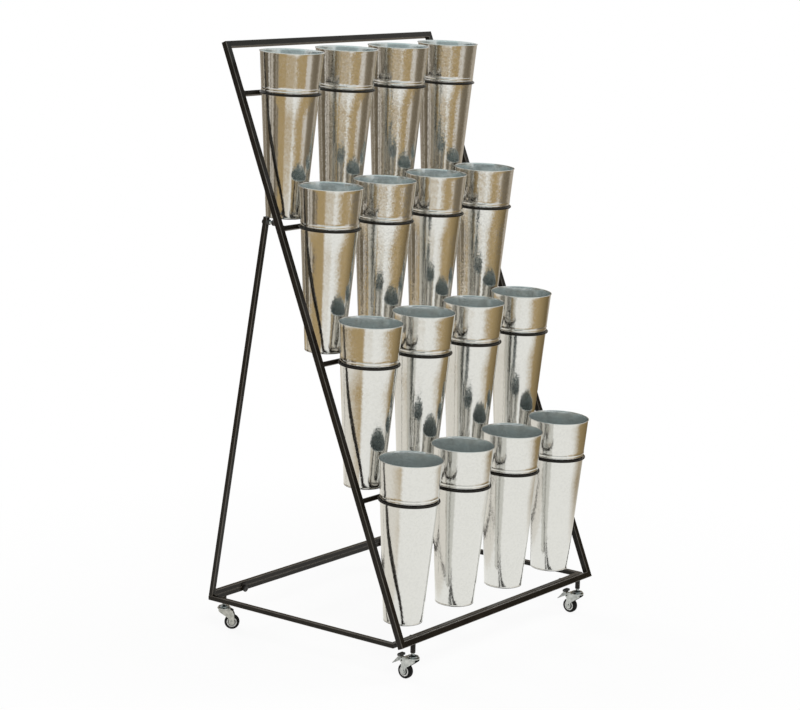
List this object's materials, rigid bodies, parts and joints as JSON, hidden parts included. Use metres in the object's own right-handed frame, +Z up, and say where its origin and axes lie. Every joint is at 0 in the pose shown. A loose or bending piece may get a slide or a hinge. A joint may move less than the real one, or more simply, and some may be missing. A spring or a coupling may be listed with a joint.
{
  "type": "flower stand",
  "caption": "Tiered rolling flower stand: a leaning tube frame with rows of wire rings that hold tapered metal buckets, on swivel casters with brakes.",
  "frame": {"origin": "on the floor under the middle of the stand's width and depth, at the bottom of the wheels", "axes": "+Z up, +X along the rows to the right as seen from the front, the buckets' side faces -Y"},
  "size_m": [0.815, 0.6468, 1.4835],
  "materials": {
    "frame_coat": "satin powder coat",
    "galvanised_sheet": "galvanised, spangled, bright",
    "black_fasteners": "black",
    "zinc_plate": "bright plated",
    "wheel_core": "moulded",
    "tyre_rubber": "matt",
    "black_plastic": "moulded"
  },
  "bodies": {
    "stand": {"post_lower_left": "frame_coat", "post_upper_left": "frame_coat", "post_lower_right": "frame_coat", "post_upper_right": "frame_coat", "splice_sleeves": "frame_coat", "top_bar": "frame_coat", "bottom_bar": "frame_coat", "tier_bar_1": "frame_coat", "ring_row_1": "frame_coat", "tier_bar_2": "frame_coat", "ring_row_2": "frame_coat", "tier_bar_3": "frame_coat", "ring_row_3": "frame_coat", "tier_bar_4": "frame_coat", "ring_row_4": "frame_coat", "base_rail_left": "frame_coat", "base_rail_right": "frame_coat", "base_front_bar": "frame_coat", "base_rear_bar": "frame_coat", "leg_left": "frame_coat", "leg_right": "frame_coat", "leg_bar": "frame_coat", "bolt_heads": "black_fasteners", "bolt_spacers": "black_fasteners", "clamp_plates": "frame_coat", "clamp_knobs": "black_plastic", "stem_sockets": "frame_coat", "caster_stems": "zinc_plate"},
    "bucket_1_1": {"bucket_1_1": "galvanised_sheet"},
    "bucket_1_2": {"bucket_1_2": "galvanised_sheet"},
    "bucket_1_3": {"bucket_1_3": "galvanised_sheet"},
    "bucket_1_4": {"bucket_1_4": "galvanised_sheet"},
    "bucket_2_1": {"bucket_2_1": "galvanised_sheet"},
    "bucket_2_2": {"bucket_2_2": "galvanised_sheet"},
    "bucket_2_3": {"bucket_2_3": "galvanised_sheet"},
    "bucket_2_4": {"bucket_2_4": "galvanised_sheet"},
    "bucket_3_1": {"bucket_3_1": "galvanised_sheet"},
    "bucket_3_2": {"bucket_3_2": "galvanised_sheet"},
    "bucket_3_3": {"bucket_3_3": "galvanised_sheet"},
    "bucket_3_4": {"bucket_3_4": "galvanised_sheet"},
    "bucket_4_1": {"bucket_4_1": "galvanised_sheet"},
    "bucket_4_2": {"bucket_4_2": "galvanised_sheet"},
    "bucket_4_3": {"bucket_4_3": "galvanised_sheet"},
    "bucket_4_4": {"bucket_4_4": "galvanised_sheet"},
    "caster_front_left": {"fork_front_left": "zinc_plate"},
    "roller_front_left": {"wheel_front_left": "wheel_core", "tyre_front_left": "tyre_rubber"},
    "brake_front_left": {"brake_lever_front_left": "zinc_plate", "brake_pad_front_left": "black_plastic"},
    "caster_front_right": {"fork_front_right": "zinc_plate"},
    "roller_front_right": {"wheel_front_right": "wheel_core", "tyre_front_right": "tyre_rubber"},
    "brake_front_right": {"brake_lever_front_right": "zinc_plate", "brake_pad_front_right": "black_plastic"},
    "caster_rear_left": {"fork_rear_left": "zinc_plate"},
    "roller_rear_left": {"wheel_rear_left": "wheel_core", "tyre_rear_left": "tyre_rubber"},
    "caster_rear_right": {"fork_rear_right": "zinc_plate"},
    "roller_rear_right": {"wheel_rear_right": "wheel_core", "tyre_rear_right": "tyre_rubber"}
  },
  "joints": [
    {"name": "bucket_1_1_lift", "type": "slide", "parent": "stand", "child": "bucket_1_1", "axis": [0, -0.1071, 0.9943], "range_m": [0, 0.31]},
    {"name": "bucket_1_2_lift", "type": "slide", "parent": "stand", "child": "bucket_1_2", "axis": [0, -0.1071, 0.9943], "range_m": [0, 0.31]},
    {"name": "bucket_1_3_lift", "type": "slide", "parent": "stand", "child": "bucket_1_3", "axis": [0, -0.1071, 0.9943], "range_m": [0, 0.31]},
    {"name": "bucket_1_4_lift", "type": "slide", "parent": "stand", "child": "bucket_1_4", "axis": [0, -0.1071, 0.9943], "range_m": [0, 0.31]},
    {"name": "bucket_2_1_lift", "type": "slide", "parent": "stand", "child": "bucket_2_1", "axis": [0, -0.1071, 0.9943], "range_m": [0, 0.31]},
    {"name": "bucket_2_2_lift", "type": "slide", "parent": "stand", "child": "bucket_2_2", "axis": [0, -0.1071, 0.9943], "range_m": [0, 0.31]},
    {"name": "bucket_2_3_lift", "type": "slide", "parent": "stand", "child": "bucket_2_3", "axis": [0, -0.1071, 0.9943], "range_m": [0, 0.31]},
    {"name": "bucket_2_4_lift", "type": "slide", "parent": "stand", "child": "bucket_2_4", "axis": [0, -0.1071, 0.9943], "range_m": [0, 0.31]},
    {"name": "bucket_3_1_lift", "type": "slide", "parent": "stand", "child": "bucket_3_1", "axis": [0, -0.1071, 0.9943], "range_m": [0, 0.31]},
    {"name": "bucket_3_2_lift", "type": "slide", "parent": "stand", "child": "bucket_3_2", "axis": [0, -0.1071, 0.9943], "range_m": [0, 0.31]},
    {"name": "bucket_3_3_lift", "type": "slide", "parent": "stand", "child": "bucket_3_3", "axis": [0, -0.1071, 0.9943], "range_m": [0, 0.31]},
    {"name": "bucket_3_4_lift", "type": "slide", "parent": "stand", "child": "bucket_3_4", "axis": [0, -0.1071, 0.9943], "range_m": [0, 0.31]},
    {"name": "bucket_4_1_lift", "type": "slide", "parent": "stand", "child": "bucket_4_1", "axis": [0, -0.1071, 0.9943], "range_m": [0, 0.31]},
    {"name": "bucket_4_2_lift", "type": "slide", "parent": "stand", "child": "bucket_4_2", "axis": [0, -0.1071, 0.9943], "range_m": [0, 0.31]},
    {"name": "bucket_4_3_lift", "type": "slide", "parent": "stand", "child": "bucket_4_3", "axis": [0, -0.1071, 0.9943], "range_m": [0, 0.31]},
    {"name": "bucket_4_4_lift", "type": "slide", "parent": "stand", "child": "bucket_4_4", "axis": [0, -0.1071, 0.9943], "range_m": [0, 0.31]},
    {"name": "swivel_front_left", "type": "hinge", "parent": "stand", "child": "caster_front_left", "pos_m": [-0.354, -0.29556, 0.057], "axis": [0, 0, 1], "continuous": true},
    {"name": "roll_front_left", "type": "hinge", "parent": "caster_front_left", "child": "roller_front_left", "pos_m": [-0.354, -0.27506, 0.019], "axis": [1, 0, 0], "continuous": true},
    {"name": "brake_front_left", "type": "hinge", "parent": "caster_front_left", "child": "brake_front_left", "pos_m": [-0.354, -0.26956, 0.046], "axis": [-1, 0, 0], "range_deg": [0, 18]},
    {"name": "swivel_front_right", "type": "hinge", "parent": "stand", "child": "caster_front_right", "pos_m": [0.354, -0.29556, 0.057], "axis": [0, 0, 1], "continuous": true},
    {"name": "roll_front_right", "type": "hinge", "parent": "caster_front_right", "child": "roller_front_right", "pos_m": [0.354, -0.27506, 0.019], "axis": [1, 0, 0], "continuous": true},
    {"name": "brake_front_right", "type": "hinge", "parent": "caster_front_right", "child": "brake_front_right", "pos_m": [0.354, -0.26956, 0.046], "axis": [-1, 0, 0], "range_deg": [0, 18]},
    {"name": "swivel_rear_left", "type": "hinge", "parent": "stand", "child": "caster_rear_left", "pos_m": [-0.354, 0.30644, 0.057], "axis": [0, 0, 1], "continuous": true},
    {"name": "roll_rear_left", "type": "hinge", "parent": "caster_rear_left", "child": "roller_rear_left", "pos_m": [-0.34166, 0.29007, 0.019], "axis": [-0.7986, -0.6018, 0], "continuous": true},
    {"name": "swivel_rear_right", "type": "hinge", "parent": "stand", "child": "caster_rear_right", "pos_m": [0.354, 0.30644, 0.057], "axis": [0, 0, 1], "continuous": true},
    {"name": "roll_rear_right", "type": "hinge", "parent": "caster_rear_right", "child": "roller_rear_right", "pos_m": [0.34166, 0.29007, 0.019], "axis": [-0.7986, 0.6018, 0], "continuous": true}
  ]
}
